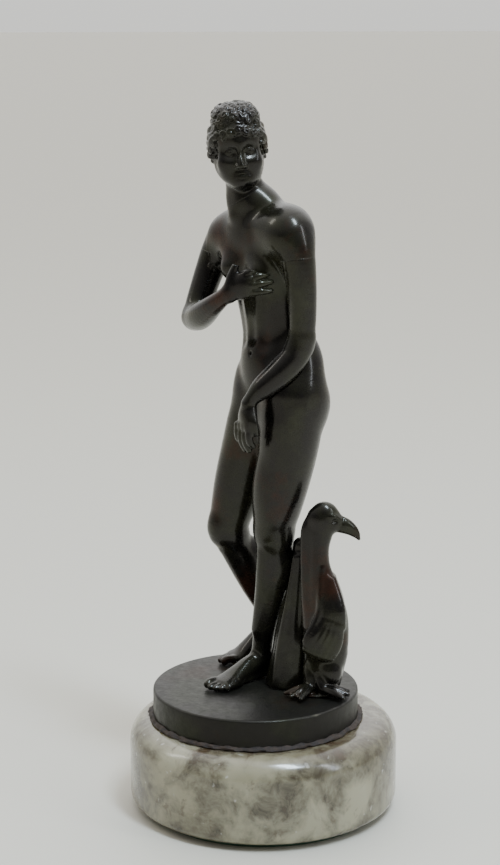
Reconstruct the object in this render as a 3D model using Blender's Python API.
"""Bronze statuette: a standing nude with a long-necked bird, on a bronze plinth and an alabaster base.

Metres, +Z up. The origin is the middle of the underside, the figure faces -Y and her left is +X.
"""

import math

import bmesh
import bpy
import numpy as np
from mathutils import Matrix, Vector

# ---- Driving dimensions ---------------------------------------------------------------------

GAP = 0.0003                    # clearance between pieces that touch

# the figure and the bird are drawn in millimetres and scaled to these heights
FIGURE_HEIGHT = 0.1352
FIGURE_DRAWN = 135.2
BIRD_HEIGHT = 0.0448
BIRD_DRAWN = 44.8

# plinth, with the whole bronze group on its axis
FEET_REACH = 23.0               # from the plinth's axis to the farthest toe, drawn
PLINTH_RIM = 0.00075            # deck left outside that toe
PLINTH_DIAMETER = 2 * (FEET_REACH * FIGURE_HEIGHT / FIGURE_DRAWN + PLINTH_RIM)
PLINTH_HEIGHT = 0.0067
PLINTH_WALL = 0.0030
PLINTH_DECK = 0.0026
PLINTH_EDGE = 0.0005
PLINTH_OFFSET = (-0.0010, -0.0015)
BEDDING_WIDTH = 0.0012
BEDDING_HEIGHT = 0.0009

# base
BASE_MARGIN = 0.00725           # stone left all round the plinth
BASE_DIAMETER = PLINTH_DIAMETER + 2 * BASE_MARGIN
BASE_HEIGHT = 0.0197
BASE_TOP_ROUND = 0.0055         # radius of the big rounded top edge
BASE_FOOT_ROUND = 0.0022
FELT_INSET = 0.0035
FELT_DIAMETER = BASE_DIAMETER - 2 * FELT_INSET
FELT_THICKNESS = 0.001

# tie rod through the base
ROD_DIAMETER = 0.0040
ROD_CLEARANCE = 0.0008
ROD_THREAD_DEPTH = 0.0022       # how far it screws into the deck and its boss
BOSS_DIAMETER = 0.0074
COUNTERBORE_DIAMETER = 0.0140
COUNTERBORE_DEPTH = 0.0060
TIE_WASHER_DIAMETER = 0.0110
TIE_WASHER_THICKNESS = 0.0008
TIE_NUT_FLATS = 0.0070
TIE_NUT_HEIGHT = 0.0030

# studs that hold the bronze group to the deck
STUD_DIAMETER = 0.0018
STUD_BELOW_DECK = 0.0031
STUD_WASHER_DIAMETER = 0.0042
STUD_WASHER_THICKNESS = 0.0005
STUD_NUT_FLATS = 0.0034
STUD_NUT_HEIGHT = 0.0013

# pinned joints of the figure
PIN_DIAMETER = 0.0022
PIN_LENGTH = 0.0070
RELIEF = 0.0004                 # how far a casting stands off the one that passes it

# ---- Heights that follow --------------------------------------------------------------------

BASE_BOTTOM = FELT_THICKNESS + GAP
BASE_TOP = BASE_BOTTOM + BASE_HEIGHT
PLINTH_BOTTOM = BASE_TOP + GAP
PLINTH_TOP = PLINTH_BOTTOM + PLINTH_HEIGHT
DECK_UNDERSIDE = PLINTH_TOP - PLINTH_DECK
FLOOR = PLINTH_TOP + GAP
AXIS = Vector((PLINTH_OFFSET[0], PLINTH_OFFSET[1], 0))


# ---- Materials ------------------------------------------------------------------------------

def finish(name, colour, roughness, metallic):
    material = bpy.data.materials.new(name)
    material.use_nodes = True
    shader = material.node_tree.nodes["Principled BSDF"]
    shader.inputs["Base Color"].default_value = (*colour, 1)
    shader.inputs["Roughness"].default_value = roughness
    shader.inputs["Metallic"].default_value = metallic
    return material


def add_object(name, bm, material, smooth=True):
    mesh = bpy.data.meshes.new(name)
    bmesh.ops.recalc_face_normals(bm, faces=bm.faces)
    bm.to_mesh(mesh)
    bm.free()
    if smooth:
        mesh.shade_smooth()
        mesh.set_sharp_from_angle(angle=math.radians(35))
    mesh.materials.append(material)
    piece = bpy.data.objects.new(name, mesh)
    bpy.context.collection.objects.link(piece)
    return piece


# ---- Turned and hexagonal pieces ------------------------------------------------------------

def turned(name, profile, material, centre=(0, 0), steps=48):
    """A solid of revolution. The profile's (radius, z) points run down the outside and close the section."""
    bm = bmesh.new()
    points = [bm.verts.new((radius, 0, z)) for radius, z in profile]
    edges = [bm.edges.new(pair) for pair in zip(points, points[1:])]
    if profile[0][0] > 0:
        edges.append(bm.edges.new((points[-1], points[0])))
    bmesh.ops.spin(
        bm,
        geom=points + edges,
        cent=(0, 0, 0),
        axis=(0, 0, 1),
        angle=math.tau,
        steps=steps,
        use_merge=True,
    )
    bmesh.ops.remove_doubles(bm, verts=bm.verts, dist=1e-6)
    bmesh.ops.translate(bm, verts=bm.verts, vec=(centre[0], centre[1], 0))
    return add_object(name, bm, material)


def arc(centre_radius, centre_z, radius, start, end, count):
    """Points on an arc of the profile, angles in degrees from +radius towards +z."""
    angles = np.radians(np.linspace(start, end, count))
    return [(centre_radius + radius * math.cos(a), centre_z + radius * math.sin(a)) for a in angles]


def rod(name, diameter, bottom, length, material, sides=16, turn=None):
    """A plain round bar from bottom, along +Z or along the turned Z."""
    bm = bmesh.new()
    bmesh.ops.create_cone(
        bm, cap_ends=True, segments=sides, radius1=diameter / 2, radius2=diameter / 2, depth=length
    )
    bmesh.ops.translate(bm, verts=bm.verts, vec=(0, 0, length / 2))
    if turn is not None:
        bmesh.ops.transform(bm, matrix=turn, verts=bm.verts)
    bmesh.ops.translate(bm, verts=bm.verts, vec=bottom)
    return add_object(name, bm, material)


def ring(name, outer, bore, centre, bottom, height, material, sides=24):
    """A washer, or a nut when sides is 6 and outer is its width over the corners."""
    bm = bmesh.new()
    for diameter in (outer, bore):
        bmesh.ops.create_circle(bm, segments=sides, radius=diameter / 2)
    flat = bmesh.ops.bridge_loops(bm, edges=bm.edges)["faces"]
    raised = bmesh.ops.extrude_face_region(bm, geom=flat, use_keep_orig=True)["geom"]
    raised_verts = [item for item in raised if isinstance(item, bmesh.types.BMVert)]
    bmesh.ops.translate(bm, verts=raised_verts, vec=(0, 0, height))
    bmesh.ops.translate(bm, verts=bm.verts, vec=(centre[0], centre[1], bottom))
    return add_object(name, bm, material, smooth=sides > 6)


def cut(piece, cutter):
    cutter.hide_render = True
    cutter.display_type = "WIRE"
    boolean = piece.modifiers.new("cut_" + cutter.name, "BOOLEAN")
    boolean.operation = "DIFFERENCE"
    boolean.solver = "EXACT"
    boolean.object = cutter


# ---- Modelled forms -------------------------------------------------------------------------

def curve_through(rows, per_span):
    """Catmull-Rom through rows of numbers, so that a limb swells and narrows smoothly."""
    rows = np.asarray(rows, float)
    ends = np.vstack([2 * rows[0] - rows[1], rows, 2 * rows[-1] - rows[-2]])
    shares = np.linspace(0, 1, per_span, endpoint=False)
    points = []
    for p0, p1, p2, p3 in zip(ends, ends[1:], ends[2:], ends[3:]):
        for t in shares:
            points.append(0.5 * (
                2 * p1 + (p2 - p0) * t + (2 * p0 - 5 * p1 + 4 * p2 - p3) * t**2
                + (3 * p1 - p0 - 3 * p2 + p3) * t**3
            ))
    points.append(rows[-1])
    return points


class Form:
    """Overlapping limbs and masses, drawn in millimetres in a local frame, for one modelled piece."""

    def __init__(self, scale, floor=FLOOR):
        self.bm = bmesh.new()
        self.place = Matrix.Translation(AXIS + Vector((0, 0, floor))) @ Matrix.Scale(scale, 4)
        self.local = Matrix()

    def frame(self, origin=(0, 0, 0), turn=0, nod=0, lean=0):
        """Turn about Z, nod about X and lean about Y, in degrees."""
        self.local = (
            Matrix.Translation(origin)
            @ Matrix.Rotation(math.radians(turn), 4, "Z")
            @ Matrix.Rotation(math.radians(nod), 4, "X")
            @ Matrix.Rotation(math.radians(lean), 4, "Y")
        )

    def mass(self, centre, radii, nod=0, detail=3):
        size = Matrix.Diagonal((*radii, 1)) if hasattr(radii, "__len__") else Matrix.Scale(radii, 4)
        matrix = (
            self.place @ self.local @ Matrix.Translation(centre)
            @ Matrix.Rotation(math.radians(nod), 4, "X") @ size
        )
        bmesh.ops.create_icosphere(self.bm, subdivisions=detail, radius=1, matrix=matrix)

    def limb(self, stations, side=(1, 0, 0), per_span=4, sides=14):
        """Rings of (x, y, z, half width, half depth), the width along side, with a ball at each end."""
        rows = [list(s) + [s[-1]] * (5 - len(s)) for s in stations]
        points = curve_through(rows, per_span)
        previous = None
        for i, point in enumerate(points):
            before, after = points[max(i - 1, 0)], points[min(i + 1, len(points) - 1)]
            along = Vector(after[:3] - before[:3]).normalized()
            across = Vector(side)
            across = (across - along * across.dot(along)).normalized()
            deep = along.cross(across)
            turn = Matrix((across * point[3], deep * point[4], along)).transposed().to_4x4()
            matrix = self.place @ self.local @ Matrix.Translation(point[:3]) @ turn
            verts = bmesh.ops.create_circle(self.bm, segments=sides, radius=1, matrix=matrix)["verts"]
            if previous:
                self.join(previous, verts)
            else:
                self.bm.faces.new(verts)
            previous = verts
        self.bm.faces.new(previous)
        for row in (rows[0], rows[-1]):
            self.mass(row[:3], min(row[3], row[4]) * 0.95, detail=2)

    def join(self, one, other):
        count = len(one)
        for i in range(count):
            j = (i + 1) % count
            self.bm.faces.new((one[i], one[j], other[j], other[i]))

    def cast(self, name, material, voxel, smoothing, keep):
        """Unites the masses into one skin, softens it and thins its triangles to the share kept."""
        piece = add_object(name, self.bm, material)
        skin = piece.modifiers.new("skin", "REMESH")
        skin.mode = "VOXEL"
        skin.voxel_size = voxel
        soft = piece.modifiers.new("soft", "SMOOTH")
        soft.factor = 0.5
        soft.iterations = smoothing
        thin = piece.modifiers.new("thin", "DECIMATE")
        thin.ratio = keep
        return piece


# Where the bars of the joints lie, drawn in millimetres on the figure: point, then direction.
NECK_JOINT = ((-4.7, 0.7, 113.2), (-0.28, -0.46, 0.84))
LEFT_ARM_JOINT = ((10.6, 3.9, 99.6), (0.10, 0.06, -0.99))
RIGHT_ARM_JOINT = ((-16.9, 0.6, 98.4), (-0.12, -0.26, -0.96))
JOINT_BLOCK = 16.0              # size of the blocks that trim the two sides of a joint

# Where the studs stand, drawn in millimetres on the deck, and how far each reaches up.
STUDS = {
    "left_foot": ((-4.3, 4.4), 4.6),
    "right_foot": ((-15.4, 5.2), 1.6),
    "stump": ((4.8, 7.6), 6.0),
    "bird": ((13.6, 9.8), 6.0),
}


def trunk(form):
    """Hips, waist, ribs and shoulders as one swelling loft, then the masses on it."""
    form.frame()
    form.limb([
        (-0.4, 6.6, 64.0, 10.6, 6.4), (-0.4, 6.7, 67.0, 11.4, 7.0), (-0.6, 7.2, 72.0, 10.9, 6.9),
        (-1.0, 7.2, 77.0, 9.6, 6.8), (-1.5, 6.9, 81.0, 9.0, 6.7), (-2.0, 6.5, 86.5, 9.0, 6.9),
        (-2.6, 5.7, 92.5, 9.5, 7.0), (-3.2, 4.7, 98.0, 9.8, 6.9), (-3.7, 3.8, 103.4, 10.4, 6.1),
        (-4.1, 3.1, 107.4, 9.4, 5.0), (-4.4, 2.6, 110.0, 6.6, 4.2),
    ], sides=24)
    form.frame((-0.6, 7.2, 68.0), turn=-3, nod=4, lean=-5)
    form.mass((0, -3.0, 6.4), (6.2, 4.0, 7.0))                  # belly
    form.mass((0, -3.8, -4.6), (3.8, 3.4, 4.4))                 # mound
    for side in (-1, 1):
        form.mass((side * 5.5, 2.9, -2.6), (5.8, 5.5, 6.8))     # buttock
        form.mass((side * 7.8, 0.2, 0.0), (4.2, 5.2, 6.0))      # flank
    form.frame((-3.0, 5.0, 98.0), turn=8, nod=12, lean=1)
    for side, drop in ((-1, 2.0), (1, 0.0)):                    # the right shoulder hangs lower
        form.mass((side * 4.7, -4.6, 0.0), (3.9, 3.7, 3.9))     # breast
        form.mass((side * 6.2, -1.8, 6.2 - drop / 2), (4.9, 3.4, 3.8))      # chest up to the shoulder
        form.mass((side * 5.4, 3.8, 3.0), (4.4, 2.9, 5.4))      # shoulder blade
        form.limb([                                             # neck down to the shoulder
            (side * 1.4, 1.2, 14.8 - drop / 2, 1.7), (side * 4.2, 1.4, 12.7 - drop, 2.4),
            (side * 8.6, 1.5, 10.7 - drop * 1.3, 2.8),
        ])
    form.frame()
    form.limb([
        (-4.1, 2.7, 105.0, 5.2, 4.6), (-4.3, 1.8, 109.4, 4.4, 4.3), (-4.7, 0.6, 113.6, 4.0, 4.0),
        (-5.0, -0.5, 118.0, 3.9, 4.0),
    ])


def shoulders(form):
    form.frame()
    form.mass((8.3, 3.5, 105.8), (4.5, 4.4, 4.7))
    form.limb([(9.2, 3.4, 105.0, 4.1), (10.4, 3.7, 101.0, 3.9, 3.9), (11.0, 4.1, 96.0, 3.5, 3.6)])
    form.mass((-13.2, 2.4, 103.2), (4.0, 4.2, 4.4))
    form.limb([(-14.9, 1.9, 102.4, 3.8), (-16.4, 1.1, 99.6, 3.8), (-17.2, -0.3, 96.0, 3.4, 3.5)])


def legs(form):
    form.frame()
    form.limb([                                                 # left leg, bearing the weight
        (5.3, 6.2, 68.0, 6.2, 7.2), (5.3, 6.0, 62.0, 6.9, 7.3), (4.5, 5.6, 55.0, 6.6, 6.9),
        (3.4, 5.2, 48.0, 5.9, 6.1), (2.3, 4.9, 42.0, 5.0, 5.3), (1.3, 4.8, 38.0, 4.4, 4.7),
        (0.7, 4.9, 35.0, 4.1, 4.3), (0.2, 5.3, 31.0, 3.8, 4.0), (-0.7, 5.7, 26.0, 3.8, 4.1),
        (-1.8, 5.6, 20.0, 3.3, 3.6), (-2.8, 5.1, 14.0, 2.8, 2.9), (-3.7, 4.7, 8.5, 2.4, 2.6),
        (-4.1, 4.7, 4.4, 2.3, 2.7),
    ])
    form.limb([                                                 # right leg, bent and drawn back
        (-6.4, 6.8, 66.0, 6.2, 7.4), (-7.4, 6.0, 60.0, 6.8, 7.6), (-8.9, 4.6, 53.0, 6.5, 7.1),
        (-10.3, 3.0, 46.0, 5.9, 6.4), (-11.3, 1.6, 40.0, 5.1, 5.5), (-11.9, 0.8, 36.0, 4.5, 4.8),
        (-12.0, 1.1, 33.6, 4.1, 4.3), (-12.1, 3.4, 29.6, 3.8, 4.1), (-12.2, 6.4, 25.0, 4.0, 4.3),
        (-12.4, 9.2, 19.6, 3.4, 3.8), (-12.6, 11.7, 14.6, 2.7, 3.0), (-12.8, 13.8, 10.2, 2.2, 2.5),
        (-12.9, 14.4, 7.6, 2.2, 2.6),
    ])
    form.mass((0.7, 1.8, 36.2), (2.3, 1.9, 2.6))                # kneecaps
    form.mass((-12.0, -2.4, 34.8), (2.3, 1.8, 2.6))
    form.frame((-4.4, 4.6, 0), turn=10)
    form.limb([                                                 # left foot, flat
        (0, 2.4, 2.0, 1.9, 2.2), (0, 0.2, 3.0, 2.2, 3.0), (0, -3.5, 2.8, 2.2, 2.8),
        (0, -7.0, 2.0, 2.6, 2.2), (0.1, -10.4, 1.2, 3.1, 1.6), (0.2, -15.0, 0.7, 2.7, 1.0),
    ])
    form.mass((0, 1.4, 1.3), (2.1, 2.6, 1.9))
    form.frame((-15.9, 5.9, 0), turn=-19)
    form.limb([                                                 # right foot, heel lifted
        (0, 11.2, 5.6, 1.8, 2.2), (0, 9.2, 6.4, 2.1, 2.8), (0, 6.0, 5.4, 2.2, 2.6),
        (0, 3.0, 3.2, 2.6, 2.2), (0, 0.4, 1.4, 3.0, 1.7), (-0.1, -4.0, 0.7, 2.6, 1.0),
    ])


def left_arm_form(form):
    form.frame()
    form.limb([
        (9.8, 3.5, 103.0, 4.0), (10.8, 3.9, 98.6, 3.7, 3.8), (11.2, 4.2, 93.4, 3.2, 3.4),
        (11.2, 4.7, 88.0, 3.0, 3.1), (10.8, 4.8, 83.5, 2.9, 2.9), (10.2, 4.4, 80.4, 2.9, 2.9),
    ])
    form.limb([
        (10.5, 4.8, 81.6, 2.8), (9.6, 3.4, 78.4, 3.1), (7.9, 0.4, 75.0, 3.0), (5.8, -2.8, 71.6, 2.4),
        (4.7, -4.4, 69.0, 1.9, 1.8), (4.2, -5.0, 67.4, 1.9, 1.5),
    ], side=(0.6, -0.75, 0.1))
    form.limb([                                                 # palm, its back to the front
        (4.2, -5.0, 67.5, 1.9, 1.3), (3.9, -5.5, 65.5, 2.4, 1.25), (3.8, -5.6, 63.7, 2.8, 1.15),
        (3.7, -5.6, 62.3, 2.7, 1.0),
    ], side=(0.95, -0.25, 0))
    for across, tip in ((2.1, 58.2), (0.7, 57.0), (-0.7, 57.0), (-2.0, 58.6)):
        form.limb([
            (3.7 + across, -5.7, 62.6, 0.85), (3.7 + 1.05 * across, -5.8, (62.0 + tip) / 2, 0.8),
            (3.7 + across, -4.9, tip, 0.75),
        ], sides=8)
    form.limb([(5.4, -5.0, 66.0, 1.0), (6.6, -5.3, 64.0, 0.95), (6.8, -5.0, 61.6, 0.8)], sides=8)


def right_arm_form(form):
    form.frame()
    form.limb([
        (-15.4, 1.6, 101.6, 3.8), (-16.8, 0.6, 98.4, 3.6, 3.7), (-17.4, -1.2, 94.0, 3.2, 3.4),
        (-17.0, -3.4, 89.0, 2.9, 3.1), (-16.4, -5.0, 85.8, 2.8, 2.9), (-15.7, -5.9, 84.2, 2.7),
    ])
    form.limb([
        (-16.0, -5.9, 84.4, 2.7), (-13.0, -6.9, 84.8, 3.0), (-8.9, -8.1, 86.3, 2.9),
        (-4.2, -8.9, 88.6, 2.4), (-0.2, -8.9, 90.9, 1.95, 1.7), (1.6, -8.4, 92.0, 1.95, 1.5),
    ], side=(-0.3, 0.05, 1))
    form.limb([
        (1.6, -8.4, 92.0, 1.9, 1.4), (3.2, -7.5, 93.2, 2.6, 1.25), (4.8, -6.2, 94.2, 2.9, 1.15),
        (5.8, -5.1, 94.8, 2.7, 1.0),
    ], side=(-0.25, -0.3, 0.9))
    for i in range(4):
        rise = (1.5 - i) * 1.5
        knuckle = (5.5 - 0.2 * rise, -5.4 - 0.25 * rise, 94.6 + rise)
        middle = (knuckle[0] + 1.4, knuckle[1] + 1.7, knuckle[2] + 0.7 + 0.15 * rise)
        tip = (middle[0] + 0.5, middle[1] + 2.2, middle[2] + 0.4 + 0.1 * rise)
        form.limb([(*knuckle, 0.85), (*middle, 0.8), (*tip, 0.75)], sides=8)
    form.limb([(2.0, -8.2, 93.6, 1.0), (2.4, -8.0, 96.0, 0.95), (3.2, -7.2, 98.8, 0.8)], sides=8)


def head_form(form):
    """Face to -Y of its own frame, with waved hair drawn back to a knot."""
    form.frame((-5.4, -1.8, 124.0), turn=60, nod=5, lean=-5)
    form.mass((0, 0.8, 1.6), (6.0, 7.2, 7.0))                   # skull
    form.mass((0, -2.2, -3.0), (4.7, 4.6, 6.6))                 # face
    form.mass((0, -4.6, -7.6), (1.9, 1.7, 1.6))                 # chin
    form.mass((0, -7.0, -1.8), (0.9, 1.5, 2.4))                 # nose
    form.mass((0, 0.6, 5.0), (6.5, 7.2, 5.0))                   # hair
    form.mass((-0.2, 0.0, 8.4), (4.6, 4.8, 2.2))
    form.mass((0, 8.2, 0.0), (3.4, 3.0, 3.2))                   # knot
    for side in (-1, 1):
        form.mass((side * 5.8, 0.2, 0.4), (1.7, 3.8, 4.0))
    form.frame()
    form.limb([
        (-4.3, 1.8, 109.4, 4.3, 4.2), (-4.7, 0.6, 113.6, 3.9, 4.0), (-5.0, -0.4, 117.0, 3.9, 4.0),
        (-5.2, -0.9, 119.0, 3.8, 3.9),
    ])


def stump_form(form):
    """A leaning trunk that flares onto the deck."""
    form.frame()
    form.limb([
        (3.2, 6.3, -1.5, 5.0), (3.3, 6.4, 1.2, 4.6), (3.6, 6.8, 6.0, 4.1), (4.0, 7.0, 12.0, 3.6),
        (4.3, 7.2, 17.0, 3.0), (5.0, 7.8, 21.0, 2.7), (5.5, 8.4, 26.0, 2.3), (5.7, 8.5, 29.0, 2.15),
        (5.8, 8.6, 33.4, 1.9),
    ])


def bird_form(form):
    """An upright long-necked bird, its head along +X of its own frame."""
    form.frame((13.4, 10.0, 0), turn=55)
    form.limb([                                                 # body up into the neck
        (0.3, 0.2, 4.0, 3.4, 2.8), (0.3, 0.2, 8.0, 4.6, 3.5), (0.2, 0.1, 13.0, 5.0, 3.8),
        (0.1, 0, 18.0, 4.9, 3.6), (-0.2, 0, 22.0, 4.2, 3.3), (-0.9, 0, 26.0, 3.4, 2.9),
        (-1.5, 0, 30.0, 2.6, 2.5), (-1.6, 0, 34.0, 2.5, 2.4), (-1.3, 0, 37.5, 2.9, 2.4),
        (-0.8, 0, 40.0, 3.1, 2.4),
    ])
    form.limb([                                                 # feathers down the nape
        (-2.4, 0, 42.0, 1.6), (-3.9, 0, 39.0, 1.7), (-4.1, 0, 34.0, 1.8), (-3.9, 0.2, 28.0, 2.0),
        (-3.2, 0.4, 22.0, 2.3), (-2.6, 0.4, 16.0, 2.6),
    ])
    form.mass((-0.4, 0, 41.3), (3.4, 2.6, 3.5))                 # head
    form.limb([                                                 # hooked bill
        (2.5, 0, 39.7, 1.4, 1.9), (4.6, 0, 39.3, 1.3, 1.7), (6.0, 0, 38.6, 1.0, 1.4), (7.0, 0, 37.5, 0.7, 0.8),
    ], side=(0, 1, 0), sides=8)
    for side in (-1, 1):
        form.limb([                                             # folded wing
            (0.8, side * 2.0, 26.0, 1.5, 1.1), (1.4, side * 2.8, 20.0, 2.9, 1.6),
            (0.2, side * 3.2, 15.0, 4.2, 1.9), (-1.4, side * 3.2, 10.8, 4.2, 1.8),
        ])
    form.mass((2.7, 0.3, 12.8), (2.5, 2.8, 8.4))                # back
    form.limb([(3.4, 0.8, 9.0, 2.0, 1.7), (4.0, 1.4, 4.6, 1.7, 1.2), (4.3, 1.8, 1.4, 1.4, 1.0)])
    form.mass((0.9, -1.6, 5.2), (2.9, 2.2, 3.3))                # thighs
    form.mass((-2.3, 0.2, 5.4), (2.7, 2.2, 3.3))
    form.mass((-1.6, -0.4, 0.0), (7.0, 3.8, 1.4))               # ground under the feet
    form.limb([                                                 # webbed feet
        (-1.0, -1.6, 4.0, 1.5), (-0.6, -2.9, 2.2, 2.1, 1.2), (1.8, -3.7, 1.2, 1.9, 0.9),
        (4.2, -4.0, 0.8, 1.2, 0.8),
    ], side=(0.35, 0.94, 0))
    form.limb([
        (-3.2, -0.4, 4.2, 1.5), (-4.6, -1.8, 2.5, 1.9, 1.1), (-6.6, -3.2, 1.2, 1.9, 0.8),
        (-8.0, -4.0, 0.8, 1.2, 0.7),
    ], side=(-0.5, 0.86, 0))


def drawn_point(point, scale):
    """A drawn point of the bronze group, in metres."""
    return AXIS + Vector((0, 0, FLOOR)) + Vector(point) * scale


def joint_frame(joint, scale):
    """A joint's place, and the turn that lays +Z along its bar."""
    point, direction = joint
    return drawn_point(point, scale), Vector(direction).to_track_quat("Z", "Y").to_matrix().to_4x4()


def trim(piece, joint, scale, material, beyond):
    """Cuts piece flat half a gap from the joint's plane, on the side that beyond points to."""
    place, turn = joint_frame(joint, scale)
    width = JOINT_BLOCK * scale
    bm = bmesh.new()
    bmesh.ops.create_cube(bm, size=1)
    bmesh.ops.scale(bm, verts=bm.verts, vec=(width, width, width))
    bmesh.ops.translate(bm, verts=bm.verts, vec=(0, 0, beyond * (width / 2 - GAP / 2)))
    bmesh.ops.transform(bm, matrix=Matrix.Translation(place) @ turn, verts=bm.verts)
    cut(piece, add_object(piece.name + "_trim", bm, material, smooth=False))


def pin_hole(piece, joint, scale, material, name):
    place, turn = joint_frame(joint, scale)
    length = PIN_LENGTH + 2 * GAP
    cutter = rod(
        piece.name + "_" + name + "_hole", PIN_DIAMETER + 2 * GAP,
        place - turn.to_3x3() @ Vector((0, 0, length / 2)), length, material, turn=turn,
    )
    cut(piece, cutter)


def pin(name, joint, scale, material):
    place, turn = joint_frame(joint, scale)
    return rod(
        name, PIN_DIAMETER, place - turn.to_3x3() @ Vector((0, 0, PIN_LENGTH / 2)),
        PIN_LENGTH, material, turn=turn,
    )


def level_sole(piece, material):
    """Cuts the piece flat on the plane that stands a gap above the deck."""
    bm = bmesh.new()
    bmesh.ops.create_cube(bm, size=1)
    depth = 0.01
    bmesh.ops.scale(bm, verts=bm.verts, vec=(PLINTH_DIAMETER, PLINTH_DIAMETER, depth))
    bmesh.ops.translate(bm, verts=bm.verts, vec=AXIS + Vector((0, 0, FLOOR - depth / 2)))
    cut(piece, add_object(piece.name + "_ground", bm, material, smooth=False))


def stud_hole(piece, name, scale, material):
    place, reach = STUDS[name]
    cutter = rod(
        name + "_stud_hole", STUD_DIAMETER + 2 * GAP,
        drawn_point((*place, 0), scale) - Vector((0, 0, 2 * GAP)),
        reach * scale + 3 * GAP, material,
    )
    cut(piece, cutter)


# ---- Build ----------------------------------------------------------------------------------

for old in list(bpy.data.objects):
    bpy.data.objects.remove(old)

bronze = finish("bronze", (0.030, 0.026, 0.020), 0.32, 0.85)
plinth_bronze = finish("plinth_bronze", (0.045, 0.043, 0.032), 0.40, 0.85)
alabaster = finish("alabaster", (0.66, 0.62, 0.50), 0.28, 0.0)
compound = finish("compound", (0.16, 0.10, 0.05), 0.85, 0.0)
felt = finish("felt", (0.05, 0.12, 0.07), 0.95, 0.0)
brass = finish("brass", (0.60, 0.44, 0.18), 0.35, 1.0)

# Base: an alabaster disc with a through bore and a counterbore, on a felt pad.
base_radius = BASE_DIAMETER / 2
felt_radius = FELT_DIAMETER / 2
turned("felt_pad", [(0, FELT_THICKNESS), (felt_radius, FELT_THICKNESS), (felt_radius, 0), (0, 0)], felt)
base = turned("alabaster_base", [
    (0, BASE_TOP),
    *arc(base_radius - BASE_TOP_ROUND, BASE_TOP - BASE_TOP_ROUND, BASE_TOP_ROUND, 90, 0, 7),
    *arc(base_radius - BASE_FOOT_ROUND, BASE_BOTTOM + BASE_FOOT_ROUND, BASE_FOOT_ROUND, 0, -90, 4),
    (0, BASE_BOTTOM),
], alabaster)
bore = ROD_DIAMETER + 2 * ROD_CLEARANCE
cut(base, rod("base_bore", bore, AXIS + Vector((0, 0, 0)), BASE_TOP + GAP, alabaster, sides=24))
cut(base, rod(
    "base_counterbore", COUNTERBORE_DIAMETER, AXIS + Vector((0, 0, BASE_BOTTOM - GAP)),
    COUNTERBORE_DEPTH + GAP, alabaster, sides=32,
))

# Plinth: a hollow cast disc with a boss for the tie rod and bored for the studs.
plinth_radius = PLINTH_DIAMETER / 2
plinth_bore = plinth_radius - PLINTH_WALL
boss_radius = BOSS_DIAMETER / 2
boss_bottom = BASE_TOP + 4 * GAP
plinth = turned("plinth", [
    (0, PLINTH_TOP),
    *arc(plinth_radius - PLINTH_EDGE, PLINTH_TOP - PLINTH_EDGE, PLINTH_EDGE, 90, 0, 3),
    (plinth_radius, PLINTH_BOTTOM), (plinth_bore, PLINTH_BOTTOM), (plinth_bore, DECK_UNDERSIDE),
    (boss_radius, DECK_UNDERSIDE), (boss_radius, boss_bottom), (0, boss_bottom),
], plinth_bronze, centre=AXIS)
rod_top = PLINTH_TOP - PLINTH_DECK + ROD_THREAD_DEPTH
tap_bottom = PLINTH_BOTTOM - GAP
cut(plinth, rod(
    "plinth_tap", ROD_DIAMETER + 2 * GAP, AXIS + Vector((0, 0, tap_bottom)),
    rod_top + GAP - tap_bottom, plinth_bronze,
))

# Old bedding compound squeezed out around the plinth's foot.
bead_inner = plinth_radius + GAP
bead_outer = bead_inner + BEDDING_WIDTH
bead_bottom = BASE_TOP + GAP
bead_top = bead_bottom + BEDDING_HEIGHT
turned("bedding_ring", [
    (bead_inner, bead_top), (bead_inner + BEDDING_WIDTH * 0.35, bead_top - BEDDING_HEIGHT * 0.1),
    (bead_outer - BEDDING_WIDTH * 0.15, bead_bottom + BEDDING_HEIGHT * 0.4), (bead_outer, bead_bottom),
    (bead_inner, bead_bottom),
], compound, centre=AXIS)

# Tie rod from the plinth's boss down to a washer and nut in the base's counterbore.
washer_top = BASE_BOTTOM + COUNTERBORE_DEPTH - GAP
tie_nut_top = washer_top - TIE_WASHER_THICKNESS - GAP
tie_nut_bottom = tie_nut_top - TIE_NUT_HEIGHT
rod_bottom = tie_nut_bottom - 0.0005
rod("tie_rod", ROD_DIAMETER, AXIS + Vector((0, 0, rod_bottom)), rod_top - rod_bottom, brass)
rod_bore = ROD_DIAMETER + 2 * GAP
ring(
    "tie_washer", TIE_WASHER_DIAMETER, rod_bore, AXIS, washer_top - TIE_WASHER_THICKNESS,
    TIE_WASHER_THICKNESS, brass,
)
ring(
    "tie_nut", TIE_NUT_FLATS / math.cos(math.pi / 6), rod_bore, AXIS, tie_nut_bottom,
    TIE_NUT_HEIGHT, brass, sides=6,
)

# The bronze group: each modelled piece, trimmed at its joints and bored for its pins and studs.
figure_scale = FIGURE_HEIGHT / FIGURE_DRAWN
bird_scale = BIRD_HEIGHT / BIRD_DRAWN

body_form = Form(figure_scale)
trunk(body_form)
shoulders(body_form)
legs(body_form)
body = body_form.cast("figure_body", bronze, 0.75 * figure_scale, 4, 0.11)

head_shape = Form(figure_scale)
head_form(head_shape)
head = head_shape.cast("head", bronze, 0.6 * figure_scale, 2, 0.15)


def cast_beside(name, model, neighbour, scale, voxel, smoothing, keep, joint=None):
    """A casting and its bed in the neighbour that it passes: the same form, grown by the relief."""
    pieces = []
    for piece_name in (name, name + "_bed"):
        shape = Form(scale)
        model(shape)
        piece = shape.cast(piece_name, bronze, voxel * scale, smoothing, keep)
        if joint:
            trim(piece, joint, scale, bronze, -1)
        pieces.append(piece)
    piece, bed = pieces
    growth = bed.modifiers.new("growth", "DISPLACE")
    growth.strength = RELIEF
    growth.mid_level = 0
    cut(neighbour, bed)
    return piece


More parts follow.
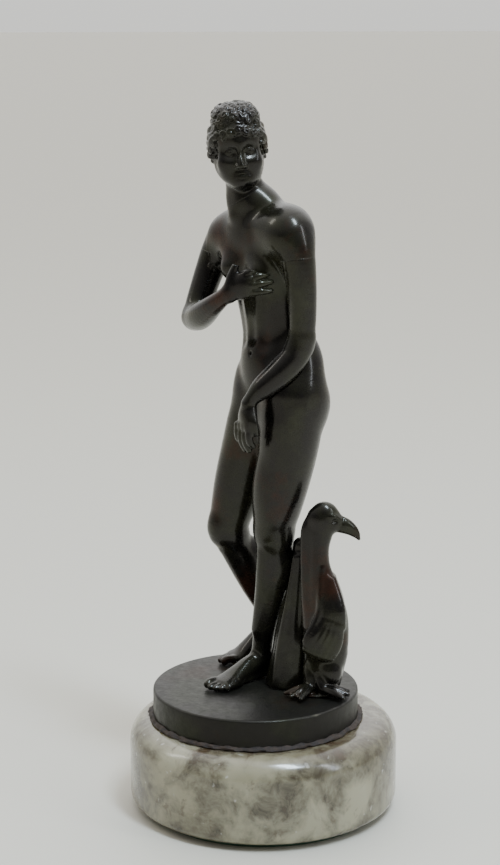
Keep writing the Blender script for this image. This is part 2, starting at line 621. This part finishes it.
left_arm = cast_beside("left_arm", left_arm_form, body, figure_scale, 0.5, 1, 0.12, LEFT_ARM_JOINT)
right_arm = cast_beside("right_arm", right_arm_form, body, figure_scale, 0.5, 1, 0.12, RIGHT_ARM_JOINT)
trim(body, NECK_JOINT, figure_scale, bronze, 1)
trim(head, NECK_JOINT, figure_scale, bronze, -1)
for piece, joint, name in (
    (left_arm, LEFT_ARM_JOINT, "left_arm_pin"), (right_arm, RIGHT_ARM_JOINT, "right_arm_pin"),
    (head, NECK_JOINT, "neck_pin"),
):
    pin_hole(body, joint, figure_scale, bronze, name)
    pin_hole(piece, joint, figure_scale, bronze, name)
    pin(name, joint, figure_scale, brass)

stump_shape = Form(bird_scale)
stump_form(stump_shape)
stump = stump_shape.cast("stump", bronze, 0.6 * bird_scale, 2, 0.16)

bird = cast_beside("bird", bird_form, stump, bird_scale, 0.6, 2, 0.17)

for piece in (body, stump, bird):
    level_sole(piece, bronze)

# Studs up into the cast pieces, each with a washer and nut under the deck.
stud_bore = STUD_DIAMETER + 2 * GAP
for name, cast in (("left_foot", body), ("right_foot", body), ("stump", stump), ("bird", bird)):
    scale = figure_scale if cast is body else bird_scale
    stud_hole(cast, name, scale, bronze)
    place, reach = STUDS[name]
    foot = drawn_point((*place, 0), scale)
    stud_bottom = DECK_UNDERSIDE - STUD_BELOW_DECK
    rod(
        name + "_stud", STUD_DIAMETER, (foot.x, foot.y, stud_bottom),
        FLOOR + reach * scale - stud_bottom, brass, sides=12,
    )
    cut(plinth, rod(
        name + "_deck_hole", stud_bore, (foot.x, foot.y, DECK_UNDERSIDE - GAP),
        PLINTH_DECK + 2 * GAP, plinth_bronze, sides=12,
    ))
    stud_washer_top = DECK_UNDERSIDE - GAP
    stud_nut_top = stud_washer_top - STUD_WASHER_THICKNESS - GAP
    ring(
        name + "_washer", STUD_WASHER_DIAMETER, stud_bore, foot, stud_washer_top - STUD_WASHER_THICKNESS,
        STUD_WASHER_THICKNESS, brass, sides=12,
    )
    ring(
        name + "_nut", STUD_NUT_FLATS / math.cos(math.pi / 6), stud_bore, foot,
        stud_nut_top - STUD_NUT_HEIGHT, STUD_NUT_HEIGHT, brass, sides=6,
    )
